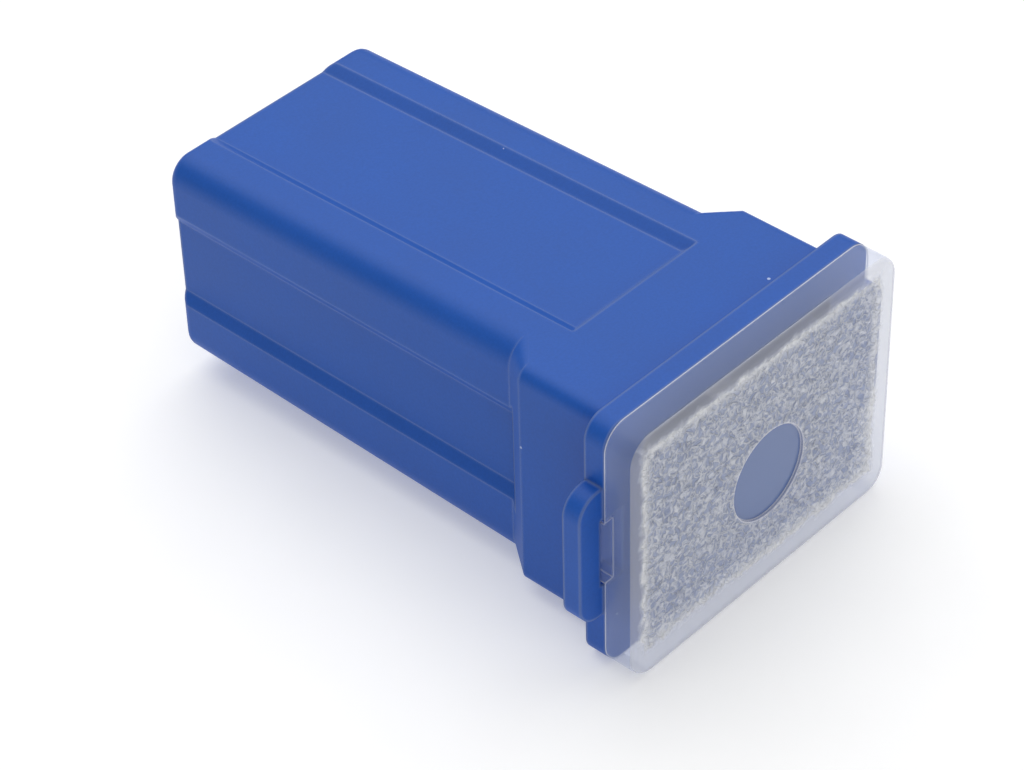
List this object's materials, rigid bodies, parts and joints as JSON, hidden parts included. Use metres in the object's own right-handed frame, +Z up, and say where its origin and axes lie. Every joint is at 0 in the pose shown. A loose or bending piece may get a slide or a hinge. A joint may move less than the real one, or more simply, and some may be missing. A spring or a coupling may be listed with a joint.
{
  "type": "female cartridge fuse",
  "caption": "Box-shaped cartridge fuse: coloured housing with a clear clip-on cover at one end and sockets for flat blades at the other.",
  "frame": {"origin": "on the surface the fuse lies on, under the middle of its length and width", "axes": "+Y along the length, from the clear cover to the socket end; +X across the wide way; +Z up"},
  "size_m": [0.018, 0.0266, 0.0119],
  "materials": {
    "housing_plastic": "moulded polyester, fine satin",
    "clear_plastic": "clear polycarbonate, grained on its outer face",
    "tinned_alloy": "tin-plated copper alloy",
    "tin": "dull cast tin"
  },
  "bodies": {
    "root": {"housing": "housing_plastic", "cover": "clear_plastic", "fuse_element": "tinned_alloy", "tin_pellet": "tin"}
  },
  "joints": []
}
